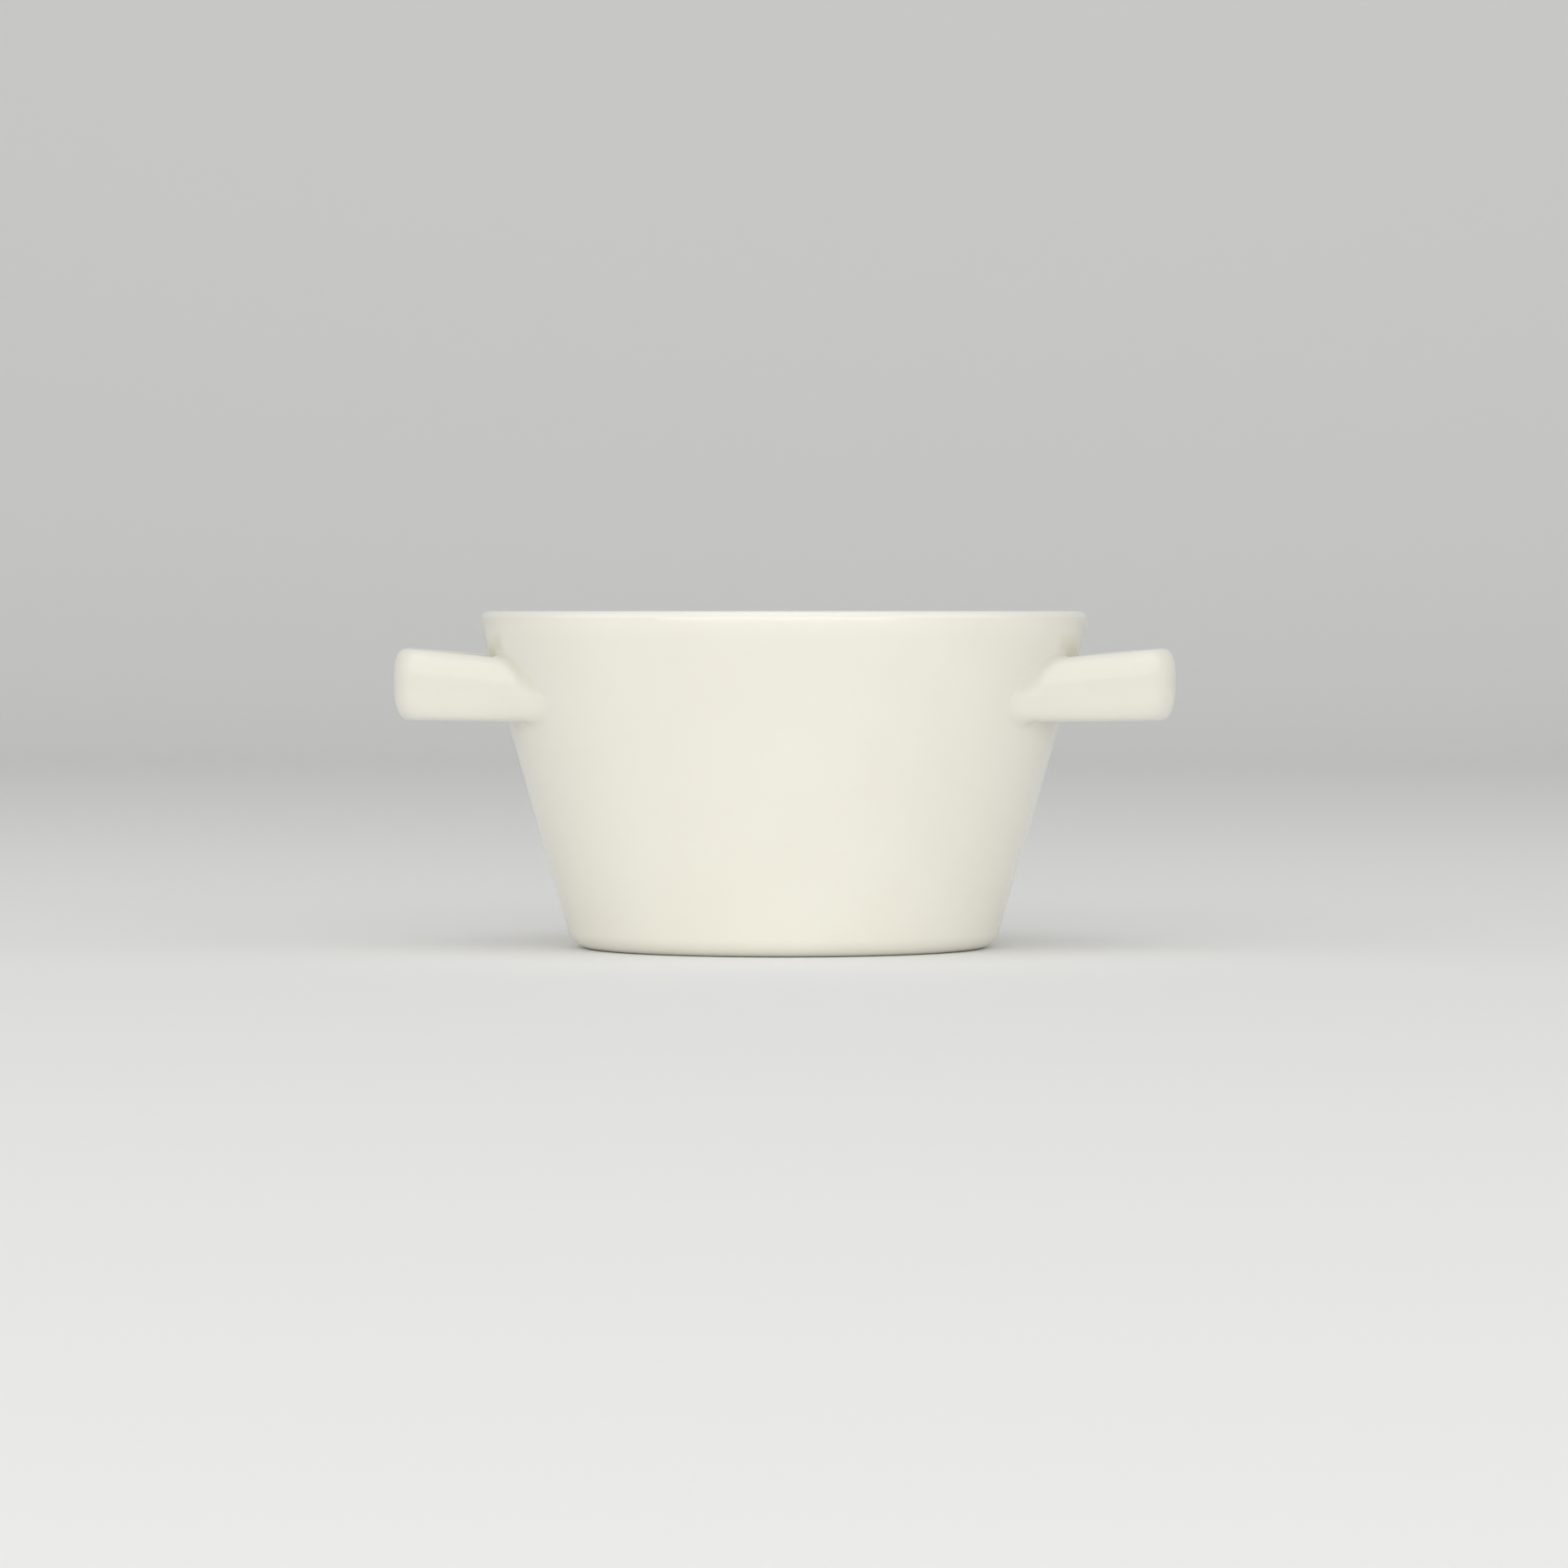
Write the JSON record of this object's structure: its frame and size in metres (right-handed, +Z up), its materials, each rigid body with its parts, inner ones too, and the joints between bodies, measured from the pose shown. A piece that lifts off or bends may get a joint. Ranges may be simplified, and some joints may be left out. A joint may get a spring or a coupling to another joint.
{
  "type": "two-handled soup cup",
  "caption": "Conical glazed stoneware soup cup with a rounded lip, a foot ring underneath and a level loop handle on either side.",
  "frame": {"origin": "on the table, under the cup's axis, in the plane of the foot ring", "axes": "+Z up the cup's axis, +X towards the right handle, -Y towards the viewer of the picture"},
  "size_m": [0.1552, 0.12, 0.0667],
  "materials": {
    "glazed_body": "cream gloss glaze over stoneware, foot ring wiped bare",
    "glazed_handle": "cream gloss glaze over cast stoneware",
    "fired_slip": "luting slip, sponged to a soft fillet and glazed over"
  },
  "bodies": {
    "root": {"cup_body": "glazed_body", "left_handle": "glazed_handle", "right_handle": "glazed_handle", "left_front_slip": "fired_slip", "left_rear_slip": "fired_slip", "right_front_slip": "fired_slip", "right_rear_slip": "fired_slip"}
  },
  "joints": []
}
